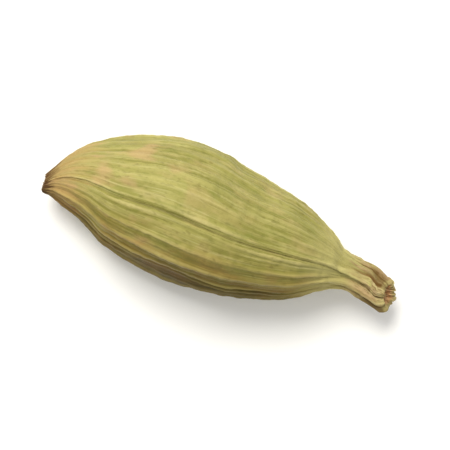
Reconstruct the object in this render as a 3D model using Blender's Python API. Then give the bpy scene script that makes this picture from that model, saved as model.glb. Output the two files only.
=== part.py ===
"""A dried green cardamom pod, lying on one of its three faces.

The pod grew as one piece: a husk with three rounded corners and raised veins, the scar of its stalk
at -X, and the withered beak of its flower at +X. Units are metres and +Z is up.
"""

import math
import random

import bmesh
import bpy

MM = 0.001

# Driving dimensions of the husk. The outline, seen from above, is its reach on the +Y side and on the -Y
# side of the line from the scar to the beak.
RIM_PLACE = 18.35 * MM
OUTLINE = [
    # along, reach to +Y, reach to -Y
    (0.00 * MM, 0.54 * MM, 0.46 * MM),
    (0.55 * MM, 1.42 * MM, 0.48 * MM),
    (1.30 * MM, 2.32 * MM, 0.76 * MM),
    (2.40 * MM, 3.04 * MM, 1.26 * MM),
    (3.80 * MM, 3.62 * MM, 2.06 * MM),
    (6.40 * MM, 4.27 * MM, 2.64 * MM),
    (8.60 * MM, 4.10 * MM, 2.88 * MM),
    (10.80 * MM, 3.50 * MM, 2.70 * MM),
    (13.40 * MM, 2.86 * MM, 2.04 * MM),
    (15.20 * MM, 1.86 * MM, 0.94 * MM),
    (15.85 * MM, 1.26 * MM, 0.52 * MM),
    (16.50 * MM, 1.00 * MM, 0.37 * MM),
    (17.70 * MM, 0.78 * MM, 0.66 * MM),
    (18.35 * MM, 0.50 * MM, 0.84 * MM),
]
CENTRE_HEIGHT = [
    # along, height of the middle of the section
    (0.0 * MM, 2.35 * MM),
    (4.0 * MM, 3.10 * MM),
    (7.8 * MM, 3.30 * MM),
    (12.0 * MM, 3.10 * MM),
    (16.0 * MM, 2.70 * MM),
    (18.35 * MM, 2.55 * MM),
]
THICKNESS_SHARE = 0.95

# The section has three rounded corners, which grow out of the round scar and fade into the round beak. The
# seams are at even thirds of a turn, and the top corner is fullest a little past its seam, on the -Y side.
TOP_SEAM = math.radians(95)
TOP_CORNER_TURN = math.radians(20)
TOP_CORNER_HALF = math.radians(50)
CORNER_SHARE = 0.09
CORNER_SINK = 0.3
CORNERS_GROW = (0.3 * MM, 3.0 * MM)
CORNERS_FADE = (13.0 * MM, 16.3 * MM)

# Veins run from the scar to the beak. Every third one goes all the way and becomes a cord of the beak,
# and the others fade near the ends. The face towards +Y is the smoothest.
VEINS = 24
VEINS_PER_CORD = 3
VEIN_HEIGHT = 0.13 * MM
VEIN_WIDTH_SHARE = 0.17
CORD_HEIGHT = 0.19 * MM
CORD_WIDTH_SHARE = 1.05
BEAK_GROWS = (14.8 * MM, 17.0 * MM)
MINOR_START = 1.4 * MM
MINOR_END = 15.0 * MM
VEIN_FADE = 1.2 * MM
WANDER_SHARE = 0.07
WANDER_GROWS = (0.0, 3.0 * MM)
LIP_WANDER = 0.1

# Each vein's own share of the spacing off its place, of the height and of the wander, and the length of its
# wave, all drawn between these. It also swells and thins as it goes, on a shorter wave.
VEIN_OFFSETS = (-0.14, 0.14)
VEIN_HEIGHTS = (0.65, 1.15)
VEIN_WANDERS = (0.4, 1.0)
VEIN_WAVES = (9.0, 15.0)
VEIN_SWELL = 0.3
SWELL_WAVE_SHARE = 0.6
SMOOTH_FACE = math.radians(50)
SMOOTH_FACE_HALF = math.radians(45)
SMOOTH_FACE_SHARE = 0.76

# A seam runs along each of the three corners, between two veins that lean towards it.
VEINS_PER_SEAM = 8
SEAM_LEAN = 0.25
SEAM_DEPTH = 0.05 * MM
SEAM_WIDTH_SHARE = 0.13
SEAM_GROWS = (2.0 * MM, 6.0 * MM)

# Seeds push the husk out in low swellings, and it sinks in creases between them as it dries:
# along, angle round, height, half length, half angle.
SWELLINGS = [
    (7.9 * MM, math.radians(20), 0.07 * MM, 1.1 * MM, math.radians(28)),
    (8.7 * MM, math.radians(8), 0.06 * MM, 0.5 * MM, math.radians(16)),
    (10.6 * MM, math.radians(8), 0.06 * MM, 0.5 * MM, math.radians(16)),
    (4.6 * MM, math.radians(40), 0.12 * MM, 1.4 * MM, math.radians(24)),
    (8.2 * MM, math.radians(62), 0.10 * MM, 1.3 * MM, math.radians(18)),
    (12.4 * MM, math.radians(42), 0.11 * MM, 1.3 * MM, math.radians(26)),
    (10.2 * MM, math.radians(150), 0.12 * MM, 1.4 * MM, math.radians(20)),
    (5.8 * MM, math.radians(148), 0.10 * MM, 1.4 * MM, math.radians(22)),
    (13.4 * MM, math.radians(160), 0.08 * MM, 1.0 * MM, math.radians(24)),
    (4.6 * MM, math.radians(235), 0.10 * MM, 1.2 * MM, math.radians(30)),
    (12.2 * MM, math.radians(236), 0.10 * MM, 1.2 * MM, math.radians(26)),
    (11.4 * MM, math.radians(305), 0.10 * MM, 1.2 * MM, math.radians(30)),
    (3.4 * MM, math.radians(320), 0.09 * MM, 1.0 * MM, math.radians(30)),
    (11.8 * MM, math.radians(171), -0.14 * MM, 1.7 * MM, math.radians(5)),
    (12.9 * MM, math.radians(187), -0.12 * MM, 1.4 * MM, math.radians(5)),
    (9.4 * MM, math.radians(195), -0.10 * MM, 1.5 * MM, math.radians(5)),
    (7.4 * MM, math.radians(160), -0.08 * MM, 1.6 * MM, math.radians(5)),
    (9.6 * MM, math.radians(5), -0.07 * MM, 0.9 * MM, math.radians(10)),
    (6.2 * MM, math.radians(335), -0.08 * MM, 1.8 * MM, math.radians(6)),
    (13.6 * MM, math.radians(330), -0.09 * MM, 1.4 * MM, math.radians(6)),
    (13.2 * MM, math.radians(255), -0.10 * MM, 1.5 * MM, math.radians(6)),
]

# The pod rests on a small flat spot in the middle of its lowest face, where its veins are pressed flat.
REST_PLACE = 7.8 * MM
REST_ANGLE = math.radians(270)
REST_HALF_LENGTH = 3.4 * MM
REST_HALF_ANGLE = math.radians(38)
FLAT_DEPTH = 0.15 * MM

# The beak's torn rim leans back on its upper side and on its +Y side, and the highest cords reach furthest
# out of it.
RIM_LEAN_UP = 0.40 * MM
RIM_LEAN_SIDE = 0.10 * MM
RIM_RAGGED = 0.14 * MM
RIM_DEPTH = 1.0 * MM

# Plain yellow-green of the dried husk, as linear red, green and blue.
HUSK_COLOUR = (0.42, 0.39, 0.13, 1.0)
HUSK_ROUGHNESS = 0.6

# Fineness of the mesh, and the angle from which an edge looks sharp.
MERIDIANS_PER_VEIN = 4
BODY_RINGS = 49
RING_CROWDING = 0.55
SHARP_FROM = math.radians(60)

# Rings inside the scar and the beak's mouth: place along, share of the outline's reach.
SCAR_RINGS = [(0.16 * MM, 0.30), (0.02 * MM, 0.62), (-0.06 * MM, 0.84)]
MOUTH_RINGS = [
    (0.16 * MM, 0.97),
    (0.29 * MM, 0.89),
    (0.35 * MM, 0.79),
    (0.32 * MM, 0.71),
    (0.20 * MM, 0.62),
    (0.05 * MM, 0.52),
    (-0.02 * MM, 0.28),
]


def clear_scene():
    for obj in list(bpy.data.objects):
        bpy.data.objects.remove(obj, do_unlink=True)


def blend_in(value, start, end):
    """0 before start, 1 after end, and a smooth S between them."""
    t = min(max((value - start) / (end - start), 0.0), 1.0)
    return t * t * (3 - 2 * t)


def bell(value, half_width):
    return math.exp(-((value / half_width) ** 2))


def through(points, column, place):
    """Smooth curve through one column of a list of stations, held level past its ends."""
    last = len(points) - 1
    if place <= points[0][0]:
        return points[0][column]
    if place >= points[last][0]:
        return points[last][column]
    i = max(k for k in range(last) if points[k][0] <= place)

    def slope(k):
        before, after = points[max(k - 1, 0)], points[min(k + 1, last)]
        return (after[column] - before[column]) / (after[0] - before[0])

    width = points[i + 1][0] - points[i][0]
    t = (place - points[i][0]) / width
    return (
        (2 * t**3 - 3 * t**2 + 1) * points[i][column]
        + (t**3 - 2 * t**2 + t) * width * slope(i)
        + (3 * t**2 - 2 * t**3) * points[i + 1][column]
        + (t**3 - t**2) * width * slope(i + 1)
    )


def draw_vein(draw, i):
    """One vein's own small differences: its angle, height, wander and when it swells. The two beside a seam
    are its lips, so they lean towards it and run straight."""
    lean = {0: SEAM_LEAN, 1: -SEAM_LEAN}.get(i % VEINS_PER_SEAM)
    spacing = 2 * math.pi / VEINS
    offset, wander = draw.uniform(*VEIN_OFFSETS), draw.uniform(*VEIN_WANDERS)
    return {
        "angle": (i + (offset if lean is None else lean)) * spacing + TOP_SEAM - spacing / 2,
        "height": draw.uniform(*VEIN_HEIGHTS),
        "wander": (wander if lean is None else LIP_WANDER) * WANDER_SHARE * spacing,
        "wave": draw.uniform(*VEIN_WAVES) * MM,
        "phase": draw.uniform(0, 2 * math.pi),
    }


VEIN_DRAW = random.Random(11)
VEIN_LIST = [draw_vein(VEIN_DRAW, i) for i in range(VEINS)]


def vein_angle(i, place):
    vein = VEIN_LIST[i % VEINS]
    turn = 2 * math.pi * (i // VEINS)
    wave = math.sin(2 * math.pi * place / vein["wave"] + vein["phase"])
    return vein["angle"] + turn + vein["wander"] * wave * blend_in(place, *WANDER_GROWS)


def angle_at(vein_place, place):
    """Angle round the pod, from +Y towards +Z, of a place counted in veins."""
    i = math.floor(vein_place)
    share = vein_place - i
    return (1 - share) * vein_angle(i, place) + share * vein_angle(i + 1, place)


def vein_strength(i, place):
    """How much of vein i shows at this place along the pod, from 0 to 1."""
    if i % VEINS_PER_CORD == 0:
        return blend_in(place, 0.0, VEIN_FADE)
    grown = blend_in(place, MINOR_START - VEIN_FADE, MINOR_START + VEIN_FADE)
    return grown * (1 - blend_in(place, MINOR_END - VEIN_FADE, MINOR_END + VEIN_FADE))


def rest_mask(place, angle):
    """1 where the pod lies on its face, falling to 0 round that spot."""
    turn = math.remainder(angle - REST_ANGLE, 2 * math.pi)
    along = ((place - REST_PLACE) / REST_HALF_LENGTH) ** 2
    return math.exp(-(along**2) - (turn / REST_HALF_ANGLE) ** 4)


def vein_relief(vein_place, place, angle):
    """Height of the veins over the husk at one place, with the grooves of the seams."""
    i = math.floor(vein_place)
    on_beak = blend_in(place, *BEAK_GROWS)
    height = VEIN_HEIGHT + (CORD_HEIGHT - VEIN_HEIGHT) * on_beak
    width = VEIN_WIDTH_SHARE + (CORD_WIDTH_SHARE - VEIN_WIDTH_SHARE) * on_beak
    relief = 0.0
    for k in range(i - 2, i + 4):
        vein = VEIN_LIST[k % VEINS]
        wave = 2 * math.pi * place / (SWELL_WAVE_SHARE * vein["wave"]) + 2 * vein["phase"]
        swell = 1 + VEIN_SWELL * math.sin(wave)
        crest = bell(vein_place - k, width)
        own_height = height * vein["height"] ** (1 + on_beak)
        relief += own_height * swell * vein_strength(k % VEINS, place) * crest
    on_smooth = bell(math.remainder(angle - SMOOTH_FACE, 2 * math.pi), SMOOTH_FACE_HALF)
    relief *= 1 - SMOOTH_FACE_SHARE * on_smooth * (1 - on_beak)
    from_seam = math.remainder(vein_place - 0.5, VEINS_PER_SEAM)
    seam = bell(from_seam, SEAM_WIDTH_SHARE) * blend_in(place, *SEAM_GROWS)
    relief -= SEAM_DEPTH * seam * (1 - on_beak)
    return relief * (1 - rest_mask(place, angle))


def corner_shape(angle):
    """1 at the three corners of the section and -1 in the middle of its faces."""
    from_top = math.remainder(angle - TOP_SEAM - TOP_CORNER_TURN, 2 * math.pi)
    past_seam = TOP_CORNER_TURN * bell(from_top, TOP_CORNER_HALF)
    return math.cos(3 * (angle - TOP_SEAM - past_seam))


def swelling(place, angle):
    total = 0.0
    for along, round_at, height, half_length, half_angle in SWELLINGS:
        turn = math.remainder(angle - round_at, 2 * math.pi)
        total += height * bell(place - along, half_length) * bell(turn, half_angle)
    return total


def skin_point(place, share, vein_place):
    """Point of the pod's surface: place along it, share of its outline's reach, place round it in veins."""
    section = min(max(place, 0.0), RIM_PLACE)
    angle = angle_at(vein_place, section)
    far, near = through(OUTLINE, 1, section), through(OUTLINE, 2, section)
    reach = (far + near) / 2
    corner = CORNER_SHARE * blend_in(section, *CORNERS_GROW) * (1 - blend_in(section, *CORNERS_FADE))
    radius = reach * (1 + corner * (corner_shape(angle) - CORNER_SINK))
    relief = vein_relief(vein_place, section, angle)
    radius = (radius + swelling(section, angle) + relief) * share
    at_rim = blend_in(section, RIM_PLACE - RIM_DEPTH, RIM_PLACE)
    lean = RIM_LEAN_UP * math.sin(angle) + RIM_LEAN_SIDE * math.cos(angle)
    rim = at_rim * (RIM_RAGGED * relief / CORD_HEIGHT - lean) * share
    return (
        place + rim - RIM_PLACE / 2,
        (far - near) / 2 + radius * math.cos(angle),
        through(CENTRE_HEIGHT, 1, section) + radius * THICKNESS_SHARE * math.sin(angle),
    )


def ring_stations():
    """(place, share) of every ring from the scar to the mouth of the beak, closer together at both ends."""
    stations = list(SCAR_RINGS)
    for k in range(BODY_RINGS):
        t = k / (BODY_RINGS - 1)
        eased = t - RING_CROWDING * math.sin(2 * math.pi * t) / (2 * math.pi)
        stations.append((RIM_PLACE * eased, 1.0))
    stations += [(RIM_PLACE + back, share) for back, share in MOUTH_RINGS]
    return stations


def shape_sphere(mesh):
    """Moves every vertex of a UV sphere, whose poles are the scar and the mouth, to the pod's surface."""
    stations = ring_stations()
    rings = len(stations) + 1
    meridians = VEINS * MERIDIANS_PER_VEIN
    for vertex in mesh.verts:
        polar = math.acos(max(-1.0, min(1.0, -vertex.co.z)))
        ring = round(polar / math.pi * rings)
        turn = math.atan2(vertex.co.y, vertex.co.x) / (2 * math.pi)
        vein_place = (round(turn * meridians) % meridians) / MERIDIANS_PER_VEIN
        if ring in (0, rings):
            place, share = stations[0 if ring == 0 else -1][0], 0.0
        else:
            place, share = stations[ring - 1]
        vertex.co = skin_point(place, share, vein_place)


def set_down(mesh):
    """Lays the lowest face flat, and puts the pod on z = 0 with the middle of its box over the origin."""
    floor = min(v.co.z for v in mesh.verts) + FLAT_DEPTH
    middle_x = (min(v.co.x for v in mesh.verts) + max(v.co.x for v in mesh.verts)) / 2
    middle_y = (min(v.co.y for v in mesh.verts) + max(v.co.y for v in mesh.verts)) / 2
    for vertex in mesh.verts:
        vertex.co.z = max(vertex.co.z - floor, 0.0)
        vertex.co.x -= middle_x
        vertex.co.y -= middle_y


def husk_material():
    material = bpy.data.materials.new("dried_husk")
    material.use_nodes = True
    shader = material.node_tree.nodes["Principled BSDF"]
    shader.inputs["Base Color"].default_value = HUSK_COLOUR
    shader.inputs["Roughness"].default_value = HUSK_ROUGHNESS
    shader.inputs["Metallic"].default_value = 0.0
    return material


def make_pod(collection):
    data = bpy.data.meshes.new("pod")
    mesh = bmesh.new()
    bmesh.ops.create_uvsphere(
        mesh,
        u_segments=VEINS * MERIDIANS_PER_VEIN,
        v_segments=len(ring_stations()) + 1,
        radius=1.0,
    )
    shape_sphere(mesh)
    set_down(mesh)
    mesh.to_mesh(data)
    mesh.free()
    data.materials.append(husk_material())
    data.shade_smooth()
    data.set_sharp_from_angle(angle=SHARP_FROM)
    pod = bpy.data.objects.new("pod", data)
    collection.objects.link(pod)
    return pod


def main():
    clear_scene()
    collection = bpy.data.collections.new("green_cardamom_pod")
    bpy.context.scene.collection.children.link(collection)
    make_pod(collection)


main()
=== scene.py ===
"""Looks of a dried green cardamom pod: its veined husk, stalk scar and the withered beak of its flower."""

import math
import random

import bpy
import numpy as np
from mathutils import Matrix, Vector


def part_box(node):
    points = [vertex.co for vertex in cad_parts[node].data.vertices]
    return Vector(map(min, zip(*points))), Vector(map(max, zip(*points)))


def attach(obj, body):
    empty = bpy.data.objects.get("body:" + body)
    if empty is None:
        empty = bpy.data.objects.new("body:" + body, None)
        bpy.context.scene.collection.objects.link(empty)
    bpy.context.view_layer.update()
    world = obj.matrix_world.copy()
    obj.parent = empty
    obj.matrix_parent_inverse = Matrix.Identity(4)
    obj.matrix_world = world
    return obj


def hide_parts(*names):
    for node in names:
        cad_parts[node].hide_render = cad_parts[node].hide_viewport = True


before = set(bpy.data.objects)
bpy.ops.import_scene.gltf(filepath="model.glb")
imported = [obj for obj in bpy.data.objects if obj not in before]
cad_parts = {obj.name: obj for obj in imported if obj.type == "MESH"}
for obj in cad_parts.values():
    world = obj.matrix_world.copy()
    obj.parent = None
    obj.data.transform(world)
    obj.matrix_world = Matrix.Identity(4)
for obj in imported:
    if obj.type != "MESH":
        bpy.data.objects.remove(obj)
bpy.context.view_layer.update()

MM = 0.001

# The pod's form is the solid's, worked out from the same sizes but finer, in millimetres.
RIM_PLACE = 18.35
OUTLINE = [
    # along, reach to +Y, reach to -Y
    (0.00, 0.54, 0.46),
    (0.55, 1.42, 0.48),
    (1.30, 2.32, 0.76),
    (2.40, 3.04, 1.26),
    (3.80, 3.62, 2.06),
    (6.40, 4.27, 2.64),
    (8.60, 4.10, 2.88),
    (10.80, 3.50, 2.70),
    (13.40, 2.86, 2.04),
    (15.20, 1.86, 0.94),
    (15.85, 1.26, 0.52),
    (16.50, 1.00, 0.37),
    (17.70, 0.78, 0.66),
    (18.35, 0.50, 0.84),
]
CENTRE_HEIGHT = [(0.0, 2.35), (4.0, 3.10), (7.8, 3.30), (12.0, 3.10), (16.0, 2.70), (18.35, 2.55)]
THICKNESS_SHARE = 0.95
TOP_SEAM = math.radians(95)
TOP_CORNER_TURN = math.radians(20)
TOP_CORNER_HALF = math.radians(50)
CORNER_SHARE = 0.09
CORNER_SINK = 0.3
CORNERS_GROW = (0.3, 3.0)
CORNERS_FADE = (13.0, 16.3)

VEINS = 24
VEIN_SEED = 11
VEINS_PER_CORD = 3
VEIN_HEIGHT = 0.13
VEIN_WIDTH_SHARE = 0.17
CORD_HEIGHT = 0.19
CORD_WIDTH_SHARE = 1.05
BEAK_GROWS = (14.8, 17.0)
MINOR_START = 1.4
MINOR_END = 15.0
VEIN_FADE = 1.2
WANDER_SHARE = 0.07
WANDER_GROWS = (0.0, 3.0)
LIP_WANDER = 0.1
VEIN_OFFSETS = (-0.14, 0.14)
VEIN_HEIGHTS = (0.65, 1.15)
VEIN_WANDERS = (0.4, 1.0)
VEIN_WAVES = (9.0, 15.0)
VEIN_SWELL = 0.3
SWELL_WAVE_SHARE = 0.6
SMOOTH_FACE = math.radians(50)
SMOOTH_FACE_HALF = math.radians(45)
SMOOTH_FACE_SHARE = 0.76
VEINS_PER_SEAM = 8
SEAM_LEAN = 0.25
SEAM_DEPTH = 0.05
SEAM_WIDTH_SHARE = 0.13
SEAM_GROWS = (2.0, 6.0)

# along, angle round, height, half length, half angle
SWELLINGS = [
    (7.9, math.radians(20), 0.07, 1.1, math.radians(28)),
    (8.7, math.radians(8), 0.06, 0.5, math.radians(16)),
    (10.6, math.radians(8), 0.06, 0.5, math.radians(16)),
    (4.6, math.radians(40), 0.12, 1.4, math.radians(24)),
    (8.2, math.radians(62), 0.10, 1.3, math.radians(18)),
    (12.4, math.radians(42), 0.11, 1.3, math.radians(26)),
    (10.2, math.radians(150), 0.12, 1.4, math.radians(20)),
    (5.8, math.radians(148), 0.10, 1.4, math.radians(22)),
    (13.4, math.radians(160), 0.08, 1.0, math.radians(24)),
    (4.6, math.radians(235), 0.10, 1.2, math.radians(30)),
    (12.2, math.radians(236), 0.10, 1.2, math.radians(26)),
    (11.4, math.radians(305), 0.10, 1.2, math.radians(30)),
    (3.4, math.radians(320), 0.09, 1.0, math.radians(30)),
    (11.8, math.radians(171), -0.14, 1.7, math.radians(5)),
    (12.9, math.radians(187), -0.12, 1.4, math.radians(5)),
    (9.4, math.radians(195), -0.10, 1.5, math.radians(5)),
    (7.4, math.radians(160), -0.08, 1.6, math.radians(5)),
    (9.6, math.radians(5), -0.07, 0.9, math.radians(10)),
    (6.2, math.radians(335), -0.08, 1.8, math.radians(6)),
    (13.6, math.radians(330), -0.09, 1.4, math.radians(6)),
    (13.2, math.radians(255), -0.10, 1.5, math.radians(6)),
]

REST_PLACE = 7.8
REST_ANGLE = math.radians(270)
REST_HALF_LENGTH = 3.4
REST_HALF_ANGLE = math.radians(38)

RIM_LEAN_UP = 0.40
RIM_LEAN_SIDE = 0.10
RIM_RAGGED = 0.14
RIM_DEPTH = 1.0
SCAR_RINGS = [(0.16, 0.30), (0.02, 0.62), (-0.06, 0.84)]
MOUTH_RINGS = [
    (0.16, 0.97),
    (0.29, 0.89),
    (0.35, 0.79),
    (0.32, 0.71),
    (0.20, 0.62),
    (0.05, 0.52),
    (-0.02, 0.28),
]

# Fineness of the visible skin.
MERIDIANS_PER_VEIN = 12
BODY_RINGS = 300
RING_CROWDING = 0.35
END_RING_SPLITS = 3

# Radius of the straight pod that patterns are laid out on.
STRAIGHT_RADIUS = 3.3

# One face is browner than the others, partly its own colour and partly painted shade of the face turned from
# the light; painted shade darkens the corner that it turns under at, and one cord of the beak is darker.
BROWN_AND_SHADED_FACE = math.radians(160)
BROWN_AND_SHADED_FACE_HALF = math.radians(50)
PAINTED_SHADE_EDGE = math.radians(182)
PAINTED_SHADE_EDGE_HALF = math.radians(34)
DARK_CORD = math.radians(22)
DARK_CORD_HALF = math.radians(26)

# Dry fibres, torn where the beak's flower and the stalk came off. Each starts and ends at a place along the
# pod, at a share of the husk's reach, and drifts round it by a number of veins. Counts are for the whole pod.
FIBRE_POINTS = 7
FIBRE_SIDES = 5
BEAK_FIBRES = {
    "count": 50,
    "starts": (RIM_PLACE - 1.3, RIM_PLACE - 0.3),
    "ends": (RIM_PLACE + 0.12, RIM_PLACE + 0.32),
    "start_share": 0.97,
    "end_shares": (0.72, 1.02),
    "drift": 0.9,
    "seed": 5,
}
MOUTH_FIBRES = {
    "count": 20,
    "starts": (RIM_PLACE - 0.16, RIM_PLACE - 0.06),
    "ends": (RIM_PLACE + 0.06, RIM_PLACE + 0.22),
    "start_share": 0.15,
    "end_shares": (0.20, 0.62),
    "drift": 2.5,
    "seed": 6,
}
SCAR_FIBRES = {
    "count": 34,
    "starts": (0.50, 0.20),
    "ends": (-0.06, -0.20),
    "start_share": 0.97,
    "end_shares": (0.70, 0.98),
    "drift": 0.6,
    "seed": 7,
}
FIBRE_SIZES = {"Fibre radius": 0.028 * MM, "Taper start": 0.3, "Tip share": 0.35}

# Fine relief on the straight pod. Widths are in millimetres there, and a folded noise makes thin lines.
RELIEF_SIZES = {
    "Fine vein height": 0.036 * MM,
    "Fine vein width": 0.30,
    "Beak fibre height": 0.05 * MM,
    "Beak fibre width": 0.50,
    "Beak lump height": 0.22 * MM,
    "Beak lump width": 0.80,
    "Wrinkle height": 0.11 * MM,
    "Wrinkle width": 0.50,
    "Cross wrinkle height": 0.06 * MM,
    "Cross wrinkle width": 1.30,
    "Pit height": 0.03 * MM,
    "Pit width": 0.40,
    "Seed": 4.0,
}
RELIEFS = [
    # name, length for its width, detail, folded, noise at its low and high end, height there, where
    ("Fine vein", 40.0, 0.0, True, (0.0, 0.11), (1.0, 0.0), "free"),
    ("Beak fibre", 4.0, 0.0, True, (0.0, 0.20), (1.0, 0.0), "beak"),
    ("Beak lump", 1.5, 2.0, False, (0.0, 1.0), (-0.5, 0.5), "beak"),
    ("Wrinkle", 5.0, 3.0, False, (0.0, 1.0), (-0.5, 0.5), "free"),
    ("Cross wrinkle", 0.4, 2.0, False, (0.42, 0.75), (0.0, 1.0), "free"),
    ("Pit", 1.6, 1.0, False, (0.66, 1.0), (0.0, -2.0), "free"),
]

# Grains of the husk's colour, laid along the straight pod.
GRAINS = {
    # name: width and length in millimetres, detail, roughness, place
    "mottle": (1.8, 3.6, 3.0, 0.6, 0.0),
    "pale_blotch": (0.8, 1.8, 3.0, 0.6, 21.0),
    "green_blotch": (0.7, 1.6, 3.0, 0.6, 23.0),
    "pale_streak": (0.26, 8.0, 3.0, 0.5, 0.0),
    "dark_streak": (0.22, 6.0, 3.0, 0.5, 7.0),
    "pale_strand": (0.10, 2.2, 2.0, 0.6, 13.0),
    "dark_cell": (0.12, 0.45, 2.0, 0.6, 17.0),
    "brown_patch": (0.8, 3.0, 3.0, 0.6, 3.0),
    "brown_mottle": (0.5, 1.3, 3.0, 0.6, 67.0),
    "pink_patch": (1.5, 2.0, 2.0, 0.5, 61.0),
    "ragged_grain": (0.5, 2.6, 2.0, 0.5, 5.0),
    "tip_grain": (0.5, 0.6, 2.0, 0.5, 15.0),
    "beak_grain": (0.4, 2.2, 2.0, 0.5, 9.0),
    "cork_patch": (1.6, 1.2, 2.0, 0.5, 31.0),
    "olive_patch": (1.9, 1.4, 2.0, 0.5, 37.0),
    "cork_strand": (0.5, 1.6, 3.0, 0.6, 2.0),
    "cork_cell": (0.36, 0.50, 3.0, 0.6, 45.0),
    "mouth_patch": (0.7, 0.3, 2.0, 0.5, 41.0),
    "fleck": (0.16, 0.36, 0.0, 0.5, 51.0),
    "gloss": (0.4, 2.0, 2.0, 0.5, 11.0),
    "fibre": (0.09, 1.8, 3.0, 0.6, 4.0),
    "cell": (0.16, 0.22, 2.0, 0.6, 8.0),
}

# Places along the pod with a ragged edge: the grain that shifts them, and how far in all, in millimetres.
RAGGED = {
    "ragged_along": ("ragged_grain", 3.0),
    "tip_edge": ("tip_grain", 1.6),
    "beak_edge": ("beak_grain", 2.4),
}

# Where a colour goes: a grain, a ragged place or an attribute of the skin, its low and high value, and the
# colour's share at each. Colours are laid over each other in the order they are listed in.
CREST = ("crest", 0.42, 0.90, 0.0, 0.35)
HOLLOW = ("crest", 0.14, -0.34, 0.0, 1.0)
ON_BEAK = ("beak_edge", 16.0, 18.0, 0.0, 1.0)
ON_CORD = ("crest", 0.30, 0.80, 0.0, 1.0)
BEFORE_NECK = ("ragged_along", 16.0, 11.4, 0.0, 1.0)
BEAK_END = ("along", 16.8, 18.0, 0.0, 1.0)
# Painted shade: on the browner face, partly its own colour, and on the corner that the husk turns under at.
ON_BROWN_AND_SHADED_FACE = ("brown_and_shaded_face", 0.4, 1.0, 0.0, 1.0)
ON_PAINTED_SHADE_EDGE = ("painted_shade_edge", 0.1, 1.0, 0.0, 1.0)
OFF_PAINTED_SHADE_EDGE = ("painted_shade_edge", 0.3, 0.9, 1.0, 0.3)
AT_RIM = ("along", 17.0, 18.0, 0.0, 1.0)
IN_MOUTH = ("inside", 0.28, 0.40, 0.0, 1.0)
HUSK_GREEN = "#837f3a"
HUSK_LAYERS = [
    # Mottled green and straw, with darker hollows between paler veins.
    ("#9a944e", "MIX", [("mottle", 0.38, 0.62, 0.0, 1.0)]),
    ("#ab9d60", "MIX", [("pale_blotch", 0.52, 0.66, 0.0, 0.55)]),
    ("#787b31", "MIX", [("green_blotch", 0.52, 0.66, 0.0, 0.55)]),
    ("#b1a866", "MIX", [("pale_streak", 0.50, 0.72, 0.0, 0.60)]),
    ("#716f29", "MIX", [("dark_streak", 0.52, 0.74, 0.0, 0.60)]),
    ("#544a1a", "MIX", [HOLLOW, ("brown_and_shaded_face", 0.0, 0.7, 0.42, 1.0), ("along", 9.0, 15.0, 1.0, 0.5)]),
    ("#bcb074", "MIX", [("crest", 0.35, 0.95, 0.0, 0.60)]),
    ("#b0a566", "MIX", [("fine_vein", 0.0, 1.0, 0.0, 0.34)]),
    # Fibres seen through the skin, with a grain of small cells between them.
    ("#bab377", "MIX", [("pale_strand", 0.50, 0.75, 0.0, 0.42)]),
    ("#5d5a25", "MIX", [("dark_cell", 0.52, 0.78, 0.0, 0.42)]),
    # Pinkish tan patches, most of them near the scar, and the browner face with its mottles, its tint partly
    # painted shade.
    ("#b8946a", "MIX", [("pink_patch", 0.52, 0.68, 0.0, 0.55), ("along", 9.0, 3.5, 0.25, 1.0)]),
    ("#e6cfa4", "MULTIPLY", [("brown_and_shaded_face", 0.0, 1.0, 0.0, 1.0), ("brown_patch", 0.34, 0.66, 0.35, 1.0)]),
    ("#8b6a36", "MIX", [("brown_and_shaded_face", 0.3, 0.9, 0.0, 0.7), ("brown_mottle", 0.50, 0.68, 0.0, 0.7)]),
    # The scar end is pinkish tan, and darkens to brown in the last half millimetre.
    ("#b8945f", "MIX", [("ragged_along", 3.0, 0.4, 0.0, 0.62)]),
    ("#553518", "MIX", [("tip_edge", 0.55, -0.1, 0.0, 0.9)]),
    # The neck is paler. The beak is tan and corky, brown between its cords and along one darker cord, with
    # painted shade on the corner it turns under at, a pale rim and a rusty mouth.
    ("#b9af6e", "MIX", [("along", 13.6, 15.4, 0.0, 0.6)]),
    ("#6b4c20", "MIX", [ON_BEAK]),
    ("#c5b57e", "MIX", [ON_BEAK, ON_CORD]),
    ("#b89a70", "MIX", [ON_BEAK, ON_CORD, ("cork_patch", 0.45, 0.62, 0.0, 1.0)]),
    ("#a7a258", "MIX", [ON_BEAK, ON_CORD, ("olive_patch", 0.52, 0.66, 0.0, 0.8)]),
    ("#8a6a38", "MIX", [ON_BEAK, ("cork_strand", 0.46, 0.66, 0.0, 0.6)]),
    ("#6b5526", "MIX", [("dark_cord", 0.0, 1.0, 0.0, 0.6), BEAK_END]),
    ("#5c4720", "MIX", [("painted_shade_edge", 0.0, 0.8, 0.0, 0.85), BEAK_END]),
    ("#bfb172", "MIX", [("inside", 0.02, 0.10, 0.0, 0.55), AT_RIM]),
    ("#e2b683", "MIX", [IN_MOUTH, AT_RIM]),
    ("#ac7844", "MIX", [IN_MOUTH, AT_RIM, ("mouth_patch", 0.42, 0.64, 0.0, 0.9)]),
    ("#6f5225", "MIX", [ON_BEAK, ("cork_cell", 0.48, 0.66, 0.0, 0.75)]),
    # A few olive flecks, each a few tenths of a millimetre, and painted shade on the corner that the husk
    # turns under at.
    ("#6b5f28", "MIX", [("fleck", 0.70, 0.82, 0.0, 0.35)]),
    ("#a0966c", "MULTIPLY", [ON_PAINTED_SHADE_EDGE, ("brown_patch", 0.30, 0.70, 1.0, 0.5), BEFORE_NECK]),
    # Painted shade darkens the browner face most past its middle, and its veins stand out pale.
    ("#bdb786", "MULTIPLY", [ON_BROWN_AND_SHADED_FACE, ("along", 5.0, 10.0, 0.25, 1.0), BEFORE_NECK]),
    ("#a89a5a", "MIX", [CREST, ("brown_and_shaded_face", 0.4, 0.8, 0.0, 1.0), OFF_PAINTED_SHADE_EDGE]),
]

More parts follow.
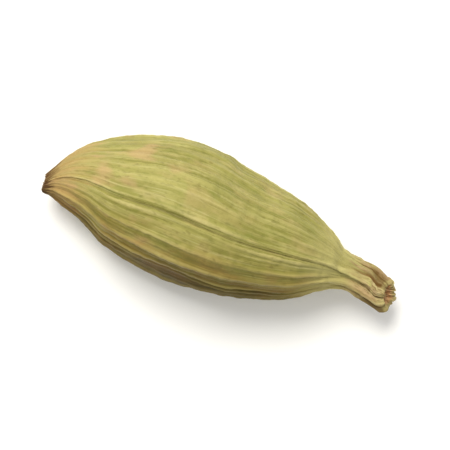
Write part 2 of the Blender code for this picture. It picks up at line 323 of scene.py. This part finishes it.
# The husk's roughness goes by a grain, written as for the colours. Its strands show in low relief: the share
# of small cells in them, and how deep they are.
HUSK_FINISH = {"IOR": 1.45, "Specular IOR Level": 0.25}
HUSK_ROUGHNESS = ("gloss", 0.3, 0.7, 0.50, 0.68)
CELLS_IN_WEAVE = 0.3
WEAVE_DEPTH = 0.07 * MM

# The loose fibres are brown and straw in patches, going over from brown to straw between these noise values.
FIBRE_FINISH = {"IOR": 1.45, "Specular IOR Level": 0.3, "Roughness": 0.75}
FIBRE_PATCH = 0.5 * MM
FIBRE_PATCH_ENDS = (0.36, 0.60)
FIBRE_BROWN = "#7d5a2f"
FIBRE_STRAW = "#c4ad70"

PAPER_FINISH = {"IOR": 1.4, "Roughness": 0.9}
PAPER_COLOUR = "#f6f5f2"

# Where the camera looks from: straight down, with the beak turned this far below the picture's level.
PICTURE_TURN = math.radians(17.6)
PICTURE_WIDTH = 23.2 * MM
LENS = 200.0
SENSOR = 36.0
CLIP = (0.005, 10.0)

# A soft key light at this place to the right, up and high over the picture, in metres, in an even white room.
KEY_PLACE = (-0.05, 0.14, 0.23)
KEY_SIZE = 0.16
KEY_POWER = 0.75
KEY_COLOUR = "#fffdf8"
ROOM_COLOUR = "#ffffff"
ROOM_POWER = 0.70

# The floor is a hair below the flat spot, so that the two never share one plane.
FLOOR_HALF = 3.0
FLOOR_DROP = 0.02 * MM


def linear(hex_colour):
    """An sRGB hex colour as linear RGBA, with no transparency."""
    channels = [int(hex_colour[i : i + 2], 16) / 255 for i in (1, 3, 5)]
    return tuple(c / 12.92 if c <= 0.04045 else ((c + 0.055) / 1.055) ** 2.4 for c in channels) + (1.0,)


# The form.


def blend_in(value, start, end):
    """0 before start, 1 after end, and a smooth S between them."""
    t = np.clip((value - start) / (end - start), 0.0, 1.0)
    return t * t * (3 - 2 * t)


def bell(value, half_width):
    return np.exp(-((value / half_width) ** 2))


def turn_between(angle, other):
    """The signed turn from other to angle, between half a turn back and half a turn on."""
    return (angle - other + math.pi) % (2 * math.pi) - math.pi


def through(points, column, places):
    """Smooth curve through one column of a list of stations, held level past its ends."""
    x = np.array([p[0] for p in points])
    y = np.array([p[column] for p in points])
    last = len(x) - 1
    before, after = np.maximum(np.arange(last + 1) - 1, 0), np.minimum(np.arange(last + 1) + 1, last)
    slope = (y[after] - y[before]) / (x[after] - x[before])
    places = np.clip(places, x[0], x[-1])
    i = np.clip(np.searchsorted(x, places, side="right") - 1, 0, last - 1)
    width = x[i + 1] - x[i]
    t = (places - x[i]) / width
    return (
        (2 * t**3 - 3 * t**2 + 1) * y[i]
        + (t**3 - 2 * t**2 + t) * width * slope[i]
        + (3 * t**2 - 2 * t**3) * y[i + 1]
        + (t**3 - t**2) * width * slope[i + 1]
    )


def draw_vein(draw, i):
    """One vein's own small differences: its angle, height, wander and when it swells. The two beside a seam
    are its lips, so they lean towards it and run straight."""
    lean = {0: SEAM_LEAN, 1: -SEAM_LEAN}.get(i % VEINS_PER_SEAM)
    spacing = 2 * math.pi / VEINS
    offset, wander = draw.uniform(*VEIN_OFFSETS), draw.uniform(*VEIN_WANDERS)
    return {
        "angle": (i + (offset if lean is None else lean)) * spacing + TOP_SEAM - spacing / 2,
        "height": draw.uniform(*VEIN_HEIGHTS),
        "wander": (wander if lean is None else LIP_WANDER) * WANDER_SHARE * spacing,
        "wave": draw.uniform(*VEIN_WAVES),
        "phase": draw.uniform(0, 2 * math.pi),
    }


VEIN_DRAW = random.Random(VEIN_SEED)
VEIN_LIST = [draw_vein(VEIN_DRAW, i) for i in range(VEINS)]


def of_veins(key, numbers):
    return np.array([vein[key] for vein in VEIN_LIST])[numbers % VEINS]


def vein_angle(numbers, place):
    wave = np.sin(2 * math.pi * place / of_veins("wave", numbers) + of_veins("phase", numbers))
    wander = of_veins("wander", numbers) * wave * blend_in(place, *WANDER_GROWS)
    turn = 2 * math.pi * (numbers // VEINS)
    return of_veins("angle", numbers) + turn + wander


def angle_at(vein_place, place):
    """Angle round the pod, from +Y towards +Z, of a place counted in veins."""
    i = np.floor(vein_place).astype(int)
    share = vein_place - i
    return (1 - share) * vein_angle(i, place) + share * vein_angle(i + 1, place)


def vein_strength(numbers, place):
    """How much of a vein shows at this place along the pod, from 0 to 1."""
    cord = blend_in(place, 0.0, VEIN_FADE)
    grown = blend_in(place, MINOR_START - VEIN_FADE, MINOR_START + VEIN_FADE)
    minor = grown * (1 - blend_in(place, MINOR_END - VEIN_FADE, MINOR_END + VEIN_FADE))
    return np.where(numbers % VEINS_PER_CORD == 0, cord, minor)


def rest_mask(place, angle):
    """1 where the pod lies on its face, falling to 0 round that spot."""
    turn = turn_between(angle, REST_ANGLE)
    return np.exp(-(((place - REST_PLACE) / REST_HALF_LENGTH) ** 4) - (turn / REST_HALF_ANGLE) ** 4)


def on_beak(place):
    return blend_in(place, *BEAK_GROWS)


def vein_relief(vein_place, place, angle):
    """Height of the veins over the husk at one place, with the grooves of the seams."""
    i = np.floor(vein_place).astype(int)
    beak = on_beak(place)
    height = VEIN_HEIGHT + (CORD_HEIGHT - VEIN_HEIGHT) * beak
    width = VEIN_WIDTH_SHARE + (CORD_WIDTH_SHARE - VEIN_WIDTH_SHARE) * beak
    relief = np.zeros(np.broadcast(vein_place, place).shape)
    for step in range(-2, 4):
        k = i + step
        wave = 2 * math.pi * place / (SWELL_WAVE_SHARE * of_veins("wave", k)) + 2 * of_veins("phase", k)
        swell = 1 + VEIN_SWELL * np.sin(wave)
        crest = bell(vein_place - k, width)
        own_height = height * of_veins("height", k) ** (1 + beak)
        relief += own_height * swell * vein_strength(k, place) * crest
    smooth = bell(turn_between(angle, SMOOTH_FACE), SMOOTH_FACE_HALF)
    relief *= 1 - SMOOTH_FACE_SHARE * smooth * (1 - beak)
    from_seam = (vein_place - 0.5 + VEINS_PER_SEAM / 2) % VEINS_PER_SEAM - VEINS_PER_SEAM / 2
    seam = bell(from_seam, SEAM_WIDTH_SHARE) * blend_in(place, *SEAM_GROWS)
    relief -= SEAM_DEPTH * seam * (1 - beak)
    return relief * (1 - rest_mask(place, angle))


def corner_shape(angle):
    """1 at the three corners of the section and -1 in the middle of its faces."""
    past_seam = TOP_CORNER_TURN * bell(turn_between(angle, TOP_SEAM + TOP_CORNER_TURN), TOP_CORNER_HALF)
    return np.cos(3 * (angle - TOP_SEAM - past_seam))


def swelling(place, angle):
    total = np.zeros(angle.shape)
    for along, round_at, height, half_length, half_angle in SWELLINGS:
        total += height * bell(place - along, half_length) * bell(turn_between(angle, round_at), half_angle)
    return total


def skin(place, share, vein_place):
    """Points of the pod's surface, with the height of its veins and the angle there. place and share are
    columns of rings."""
    section = np.clip(place, 0.0, RIM_PLACE)
    angle = angle_at(vein_place, section)
    far, near = through(OUTLINE, 1, section), through(OUTLINE, 2, section)
    reach = (far + near) / 2
    corner = CORNER_SHARE * blend_in(section, *CORNERS_GROW) * (1 - blend_in(section, *CORNERS_FADE))
    radius = reach * (1 + corner * (corner_shape(angle) - CORNER_SINK))
    relief = vein_relief(vein_place, section, angle)
    radius = (radius + swelling(section, angle) + relief) * share
    at_rim = blend_in(section, RIM_PLACE - RIM_DEPTH, RIM_PLACE)
    lean = RIM_LEAN_UP * np.sin(angle) + RIM_LEAN_SIDE * np.cos(angle)
    x = place + at_rim * (RIM_RAGGED * relief / CORD_HEIGHT - lean) * share
    y = (far - near) / 2 + radius * np.cos(angle)
    z = through(CENTRE_HEIGHT, 1, section) + radius * THICKNESS_SHARE * np.sin(angle)
    return np.stack([x, y, z], axis=-1), relief, angle


def split_rings(rings, next_ring):
    """More rings between those of the scar or the mouth, on a straight line from each to the next."""
    rows = list(rings) + [next_ring]
    steps = [k / END_RING_SPLITS for k in range(END_RING_SPLITS)]
    pairs = list(zip(rows, rows[1:]))
    return [(a[0] + (b[0] - a[0]) * t, a[1] + (b[1] - a[1]) * t) for a, b in pairs for t in steps]


def ring_stations():
    """Place and share of every ring from the scar to the mouth of the beak, closer together at both ends."""
    t = np.arange(BODY_RINGS) / (BODY_RINGS - 1)
    body = RIM_PLACE * (t - RING_CROWDING * np.sin(2 * math.pi * t) / (2 * math.pi))
    scar = split_rings(SCAR_RINGS, (0.0, 1.0))
    mouth = [(RIM_PLACE + back, share) for back, share in MOUTH_RINGS]
    mouth = split_rings(mouth[::-1], (RIM_PLACE, 1.0))[::-1]
    return np.array(scar + [(place, 1.0) for place in body] + mouth)


def set_down(points):
    """Moves the finer skin to where the solid is, and lays its lowest face flat. Returns how far it moved."""
    low, high = (np.array(corner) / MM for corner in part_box("pod"))
    move = (low + high) / 2 - (points.min(axis=0) + points.max(axis=0)) / 2
    move[2] = high[2] - points[:, 2].max()
    points += move
    points[:, 2] = np.maximum(points[:, 2], low[2])
    return move


def store(mesh, name, kind, values):
    layer = mesh.attributes.new(name, kind, "POINT")
    field = "vector" if kind == "FLOAT_VECTOR" else "value"
    layer.data.foreach_set(field, np.ravel(values).astype(np.float32))


def skin_faces(rings, around):
    """Faces between the rings, and round one point in the middle of the scar and one in the mouth."""
    ring, step = np.meshgrid(np.arange(rings - 1), np.arange(around), indexing="ij")
    here, beside = ring * around + step, ring * around + (step + 1) % around
    quads = np.stack([here, beside, beside + around, here + around], axis=-1).reshape(-1, 4)
    scar_pole, mouth_pole, last = rings * around, rings * around + 1, (rings - 1) * around
    caps = [(scar_pole, (k + 1) % around, k) for k in range(around)]
    caps += [(mouth_pole, last + k, last + (k + 1) % around) for k in range(around)]
    return quads.tolist() + caps


def straight_pod(place, vein_place):
    """Where each point of the skin would be on a straight round pod."""
    theta = 2 * math.pi * vein_place / VEINS
    straight = np.broadcast_arrays(STRAIGHT_RADIUS * np.cos(theta), STRAIGHT_RADIUS * np.sin(theta), place)
    straight = np.stack(straight, axis=-1).reshape(-1, 3)
    return np.concatenate([straight, [[0, 0, 0], [0, 0, RIM_PLACE]]])


def skin_mesh():
    """The pod's skin, with what its finish is laid out by. Returns how far it was moved as well."""
    stations = ring_stations()
    around = VEINS * MERIDIANS_PER_VEIN
    vein_place = (np.arange(around) / MERIDIANS_PER_VEIN)[None, :]
    place, share = stations[:, :1], stations[:, 1:]
    points, relief, angle = skin(place, share, vein_place)
    ends, _, _ = skin(stations[[0, -1], :1], np.zeros((2, 1)), np.zeros((1, 1)))
    points = np.concatenate([points.reshape(-1, 3), ends.reshape(-1, 3)])
    move = set_down(points)
    mesh = bpy.data.meshes.new("pod_skin")
    mesh.from_pydata((points * MM).tolist(), [], skin_faces(len(stations), around))
    store(mesh, "straight", "FLOAT_VECTOR", straight_pod(place, vein_place))
    # Each: its values over the rings, in the middle of the scar and in the middle of the mouth.
    layouts = {
        "along": (place, 0, RIM_PLACE),
        "crest": (relief / VEIN_HEIGHT, 0, 0),
        "free": (1 - rest_mask(place, angle), 1, 1),
        "inside": (1 - share, 1, 1),
        "beak": (on_beak(place), 0, 1),
        # The browner face, partly painted shade, and the painted shade on the corner that the husk turns
        # under at.
        "brown_and_shaded_face": (bell(turn_between(angle, BROWN_AND_SHADED_FACE), BROWN_AND_SHADED_FACE_HALF), 0, 0),
        "painted_shade_edge": (bell(turn_between(angle, PAINTED_SHADE_EDGE), PAINTED_SHADE_EDGE_HALF), 0, 0),
        "dark_cord": (bell(turn_between(angle, DARK_CORD), DARK_CORD_HALF), 0, 0),
    }
    for name, (values, at_scar, at_mouth) in layouts.items():
        on_rings = np.broadcast_to(values, angle.shape).ravel()
        store(mesh, name, "FLOAT", np.append(on_rings, [at_scar, at_mouth]))
    mesh.shade_smooth()
    return mesh, move


def fibre_lines(fibres, move):
    """Lines that lie on the husk's surface from one place along it to another, and leave it past its ends."""
    draw = random.Random(fibres["seed"])
    t = np.linspace(0.0, 1.0, FIBRE_POINTS)[:, None]
    points, edges = [], []
    for _ in range(fibres["count"]):
        start, end = draw.uniform(*fibres["starts"]), draw.uniform(*fibres["ends"])
        share = fibres["start_share"] + (draw.uniform(*fibres["end_shares"]) - fibres["start_share"]) * t**2
        vein_place = draw.uniform(0, VEINS) + draw.uniform(-1, 1) * fibres["drift"] * t**2
        line, _, _ = skin(start + (end - start) * t, share, vein_place)
        first = len(points)
        points += (line.reshape(-1, 3) + move).tolist()
        edges += [(first + k, first + k + 1) for k in range(FIBRE_POINTS - 1)]
    mesh = bpy.data.meshes.new("fibre_lines")
    mesh.from_pydata((np.array(points) * MM).tolist(), edges, [])
    return mesh


# Trees and materials.


def add(tree, kind, settings=None, inputs=None):
    """Adds a node. Settings are its properties, and each input gets a value or another node's output."""
    node = tree.nodes.new(kind)
    for name, value in (settings or {}).items():
        setattr(node, name, value)
    for name, value in (inputs or {}).items():
        if isinstance(value, bpy.types.NodeSocket):
            tree.links.new(value, node.inputs[name])
        else:
            node.inputs[name].default_value = value
    return node


def new_tree(name, sizes):
    """An empty geometry tree that takes a mesh and these sizes."""
    tree = bpy.data.node_groups.new(name, "GeometryNodeTree")
    tree.interface.new_socket("Geometry", in_out="OUTPUT", socket_type="NodeSocketGeometry")
    tree.interface.new_socket("Geometry", in_out="INPUT", socket_type="NodeSocketGeometry")
    for size in sizes:
        tree.interface.new_socket(size, in_out="INPUT", socket_type="NodeSocketFloat")
    return tree


def finish_tree(tree, geometry, material):
    whole = add(tree, "GeometryNodeRealizeInstances", inputs={"Geometry": geometry}).outputs["Geometry"]
    finished = add(tree, "GeometryNodeSetMaterial", inputs={"Geometry": whole, "Material": material})
    add(tree, "NodeGroupOutput", inputs={"Geometry": finished.outputs["Geometry"]})


def plain_mesh(obj, tree, values):
    """Runs a geometry tree on the object with its inputs set by name, and keeps the result as its mesh."""
    modifier = obj.modifiers.new("shape", "NODES")
    modifier.node_group = tree
    for item in tree.interface.items_tree:
        if item.item_type == "SOCKET" and item.in_out == "INPUT" and item.name in values:
            modifier[item.identifier] = values[item.name]
    bpy.context.view_layer.update()
    made = bpy.data.meshes.new_from_object(obj.evaluated_get(bpy.context.evaluated_depsgraph_get()))
    obj.modifiers.remove(modifier)
    obj.data = made


def relief_tree(material):
    """Fine veins, papery wrinkles along and across, small pits, and the fibres and lumps of the beak's cords,
    pushed out along the skin's normal."""
    tree = new_tree("husk_relief", RELIEF_SIZES)
    inputs = add(tree, "NodeGroupInput").outputs
    skin_values = {}
    for name, kind in {"straight": "FLOAT_VECTOR", "free": "FLOAT", "beak": "FLOAT"}.items():
        value = add(tree, "GeometryNodeInputNamedAttribute", {"data_type": kind}, {"Name": name})
        skin_values[name] = value.outputs["Attribute"]
    shapes, height = {}, 0.0
    for name, stretch, detail, folded, noise_ends, height_ends, where in RELIEFS:
        scale = add(tree, "ShaderNodeMath", {"operation": "DIVIDE"}, {0: 1.0, 1: inputs[name + " width"]})
        place = add(
            tree,
            "ShaderNodeVectorMath",
            {"operation": "DIVIDE"},
            {0: skin_values["straight"], 1: (1.0, 1.0, stretch)},
        )
        noise = add(
            tree,
            "ShaderNodeTexNoise",
            {"noise_dimensions": "4D"},
            {"Vector": place.outputs[0], "W": inputs["Seed"], "Scale": scale.outputs[0], "Detail": detail},
        ).outputs["Fac"]
        if folded:
            off_middle = add(tree, "ShaderNodeMath", {"operation": "SUBTRACT"}, {0: noise, 1: 0.5})
            fold = add(tree, "ShaderNodeMath", {"operation": "ABSOLUTE"}, {0: off_middle.outputs[0]})
            noise = fold.outputs[0]
        shape = add(
            tree,
            "ShaderNodeMapRange",
            inputs={0: noise, 1: noise_ends[0], 2: noise_ends[1], 3: height_ends[0], 4: height_ends[1]},
        ).outputs[0]
        shapes[name] = shape
        own = add(tree, "ShaderNodeMath", {"operation": "MULTIPLY"}, {0: shape, 1: inputs[name + " height"]})
        total = {0: own.outputs[0], 1: skin_values[where], 2: height}
        height = add(tree, "ShaderNodeMath", {"operation": "MULTIPLY_ADD"}, total).outputs[0]

    normal = add(tree, "GeometryNodeInputNormal").outputs["Normal"]
    offset = add(tree, "ShaderNodeVectorMath", {"operation": "SCALE"}, {0: normal, "Scale": height})
    stored = add(
        tree,
        "GeometryNodeStoreNamedAttribute",
        {"data_type": "FLOAT", "domain": "POINT"},
        {"Geometry": inputs["Geometry"], "Name": "fine_vein", "Value": shapes["Fine vein"]},
    )
    moved = add(
        tree,
        "GeometryNodeSetPosition",
        inputs={"Geometry": stored.outputs["Geometry"], "Offset": offset.outputs[0]},
    )
    finish_tree(tree, moved.outputs["Geometry"], material)
    return tree


def fibre_tree(material):
    """Thin round strands along the lines that come in, thinner towards their ends."""
    tree = new_tree("dry_fibres", FIBRE_SIZES)
    inputs = add(tree, "NodeGroupInput").outputs
    curve = add(tree, "GeometryNodeMeshToCurve", inputs={"Mesh": inputs["Geometry"]})
    along = add(tree, "GeometryNodeSplineParameter").outputs["Factor"]
    taper = add(
        tree,
        "ShaderNodeMapRange",
        inputs={0: along, 1: inputs["Taper start"], 2: 1.0, 3: 1.0, 4: inputs["Tip share"]},
    )
    ring = add(
        tree,
        "GeometryNodeCurvePrimitiveCircle",
        inputs={"Resolution": FIBRE_SIDES, "Radius": inputs["Fibre radius"]},
    )
    strand = add(
        tree,
        "GeometryNodeCurveToMesh",
        inputs={
            "Curve": curve.outputs["Curve"],
            "Profile Curve": ring.outputs["Curve"],
            "Scale": taper.outputs[0],
            "Fill Caps": True,
        },
    )
    finish_tree(tree, strand.outputs["Mesh"], material)
    return tree


def new_material(name, finish):
    """A material whose shader has these plain values."""
    material = bpy.data.materials.new(name)
    material.use_nodes = True
    shader = material.node_tree.nodes["Principled BSDF"]
    for socket, value in finish.items():
        shader.inputs[socket].default_value = value
    return material, material.node_tree, shader


def husk_patterns(tree):
    """What the husk's finish is laid out by: attributes of the skin, grains and ragged edges, by name."""
    straight = add(tree, "ShaderNodeAttribute", {"attribute_name": "straight"}).outputs["Vector"]
    patterns = {}
    for name in ("along", "crest", "inside", "fine_vein", "brown_and_shaded_face", "painted_shade_edge", "dark_cord"):
        patterns[name] = add(tree, "ShaderNodeAttribute", {"attribute_name": name}).outputs["Fac"]
    for name, (width, length, detail, roughness, place) in GRAINS.items():
        scale = (1 / width, 1 / width, 1 / length)
        vector = add(
            tree,
            "ShaderNodeMapping",
            inputs={"Vector": straight, "Location": (place,) * 3, "Scale": scale},
        ).outputs[0]
        patterns[name] = add(
            tree,
            "ShaderNodeTexNoise",
            inputs={"Vector": vector, "Scale": 1.0, "Detail": detail, "Roughness": roughness},
        ).outputs["Fac"]
    for name, (grain, depth) in RAGGED.items():
        terms = {0: patterns[grain], 1: depth, 2: -depth / 2}
        shift = add(tree, "ShaderNodeMath", {"operation": "MULTIPLY_ADD"}, terms).outputs[0]
        edge = add(tree, "ShaderNodeMath", {"operation": "ADD"}, {0: patterns["along"], 1: shift})
        patterns[name] = edge.outputs[0]
    return patterns


def layered_colour(tree, patterns, first, layers):
    """A colour with others laid over it in turn, each by the product of the shares of where it goes."""
    colour = linear(first)
    for over, blend, places in layers:
        share = None
        for source, low, high, at_low, at_high in places:
            ranged = add(
                tree,
                "ShaderNodeMapRange",
                {"interpolation_type": "SMOOTHSTEP"},
                {0: patterns[source], 1: low, 2: high, 3: at_low, 4: at_high},
            ).outputs[0]
            if share is None:
                share = ranged
            else:
                both = {0: share, 1: ranged}
                share = add(tree, "ShaderNodeMath", {"operation": "MULTIPLY"}, both).outputs[0]
        mixed = add(
            tree,
            "ShaderNodeMix",
            {"data_type": "RGBA", "blend_type": blend},
            {0: share, 6: colour, 7: linear(over)},
        )
        colour = mixed.outputs[2]
    return colour


def dried_husk():
    """A fruit's husk, dried in the shade: papery plant fibre. The eye gets a soft satin with no mirror in it,
    yellow-green skin, straw-coloured veins, browner hollows, and tan ends where the skin is corky."""
    material, tree, shader = new_material("dried_husk", HUSK_FINISH)
    patterns = husk_patterns(tree)
    # Its colour holds painted shade on the face turned from the light and on the corner that the husk turns
    # under at.
    colour = layered_colour(tree, patterns, HUSK_GREEN, HUSK_LAYERS)
    grain, low, high, at_low, at_high = HUSK_ROUGHNESS
    rough = add(
        tree,
        "ShaderNodeMapRange",
        inputs={0: patterns[grain], 1: low, 2: high, 3: at_low, 4: at_high},
    )
    # Plant fibre: strands a few hundredths of a millimetre wide, drawn twice as coarse so that they show.
    weave = add(
        tree,
        "ShaderNodeMix",
        {"data_type": "FLOAT"},
        {0: CELLS_IN_WEAVE, 2: patterns["fibre"], 3: patterns["cell"]},
    )
    bump = add(
        tree,
        "ShaderNodeBump",
        inputs={"Strength": 1.0, "Distance": WEAVE_DEPTH, "Height": weave.outputs[0]},
    )
    tree.links.new(colour, shader.inputs["Base Color"])
    tree.links.new(rough.outputs[0], shader.inputs["Roughness"])
    tree.links.new(bump.outputs["Normal"], shader.inputs["Normal"])
    return material


def dry_fibre():
    """Bast fibre, torn and dried: matt straw, browner in places, with no gloss for the eye."""
    material, tree, shader = new_material("dry_fibre", FIBRE_FINISH)
    place = add(tree, "ShaderNodeTexCoord").outputs["Object"]
    patches = add(
        tree,
        "ShaderNodeTexNoise",
        inputs={"Vector": place, "Scale": 1 / FIBRE_PATCH, "Detail": 2.0},
    ).outputs["Fac"]
    low, high = FIBRE_PATCH_ENDS
    share = add(tree, "ShaderNodeMapRange", inputs={0: patches, 1: low, 2: high})
    colour = add(
        tree,
        "ShaderNodeMix",
        {"data_type": "RGBA"},
        {0: share.outputs[0], 6: linear(FIBRE_BROWN), 7: linear(FIBRE_STRAW)},
    )
    tree.links.new(colour.outputs[2], shader.inputs["Base Color"])
    return material


def studio_floor():
    """Matt white paper, which shows as a pale even ground."""
    material, _, shader = new_material("floor_paper", PAPER_FINISH)
    shader.inputs["Base Color"].default_value = linear(PAPER_COLOUR)
    return material


# The pod, the floor, the light and the camera.


def make_pod():
    mesh, move = skin_mesh()
    pod = bpy.data.objects.new("pod_skin", mesh)
    bpy.context.scene.collection.objects.link(pod)
    plain_mesh(pod, relief_tree(dried_husk()), RELIEF_SIZES)
    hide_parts("pod")
    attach(pod, "root")
    return move


def make_fibres(move):
    tree = fibre_tree(dry_fibre())
    pieces = {"beak_fibres": BEAK_FIBRES, "mouth_fibres": MOUTH_FIBRES, "scar_fibres": SCAR_FIBRES}
    for name, fibres in pieces.items():
        piece = bpy.data.objects.new(name, fibre_lines(fibres, move))
        bpy.context.scene.collection.objects.link(piece)
        plain_mesh(piece, tree, FIBRE_SIZES)
        piece.data.shade_smooth()
        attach(piece, "root")


def make_floor():
    mesh = bpy.data.meshes.new("floor")
    half, level = FLOOR_HALF, -FLOOR_DROP
    corners = [(-half, -half, level), (half, -half, level), (half, half, level), (-half, half, level)]
    mesh.from_pydata(corners, [], [(0, 1, 2, 3)])
    mesh.materials.append(studio_floor())
    floor = bpy.data.objects.new("floor", mesh)
    bpy.context.scene.collection.objects.link(floor)


def in_picture(right, up, height):
    """The place that is this far right and up in the picture, in metres, and this high over the floor."""
    c, s = math.cos(PICTURE_TURN), math.sin(PICTURE_TURN)
    return Vector((right * c - up * s, right * s + up * c, height))


def make_key_light():
    light = bpy.data.lights.new("key", "AREA")
    light.shape = "DISK"
    light.size = KEY_SIZE
    light.energy = KEY_POWER
    light.color = linear(KEY_COLOUR)[:3]
    lamp = bpy.data.objects.new("key", light)
    lamp.location = in_picture(*KEY_PLACE)
    lamp.rotation_euler = (-lamp.location).to_track_quat("-Z", "Y").to_euler()
    bpy.context.scene.collection.objects.link(lamp)


def make_room():
    bpy.context.scene.view_settings.view_transform = "Standard"
    world = bpy.data.worlds.new("studio")
    world.use_nodes = True
    background = world.node_tree.nodes["Background"]
    background.inputs["Color"].default_value = linear(ROOM_COLOUR)
    background.inputs["Strength"].default_value = ROOM_POWER
    bpy.context.scene.world = world


def make_camera():
    data = bpy.data.cameras.new("camera")
    data.lens = LENS
    data.sensor_width = SENSOR
    data.clip_start, data.clip_end = CLIP
    camera = bpy.data.objects.new("camera", data)
    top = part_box("pod")[1][2]
    camera.location = in_picture(0.0, 0.0, top / 2 + PICTURE_WIDTH * LENS / SENSOR)
    camera.rotation_euler = (0, 0, PICTURE_TURN)
    bpy.context.scene.collection.objects.link(camera)
    bpy.context.scene.camera = camera


make_camera()
make_key_light()
make_room()
make_floor()
make_fibres(make_pod())
bpy.context.view_layer.update()
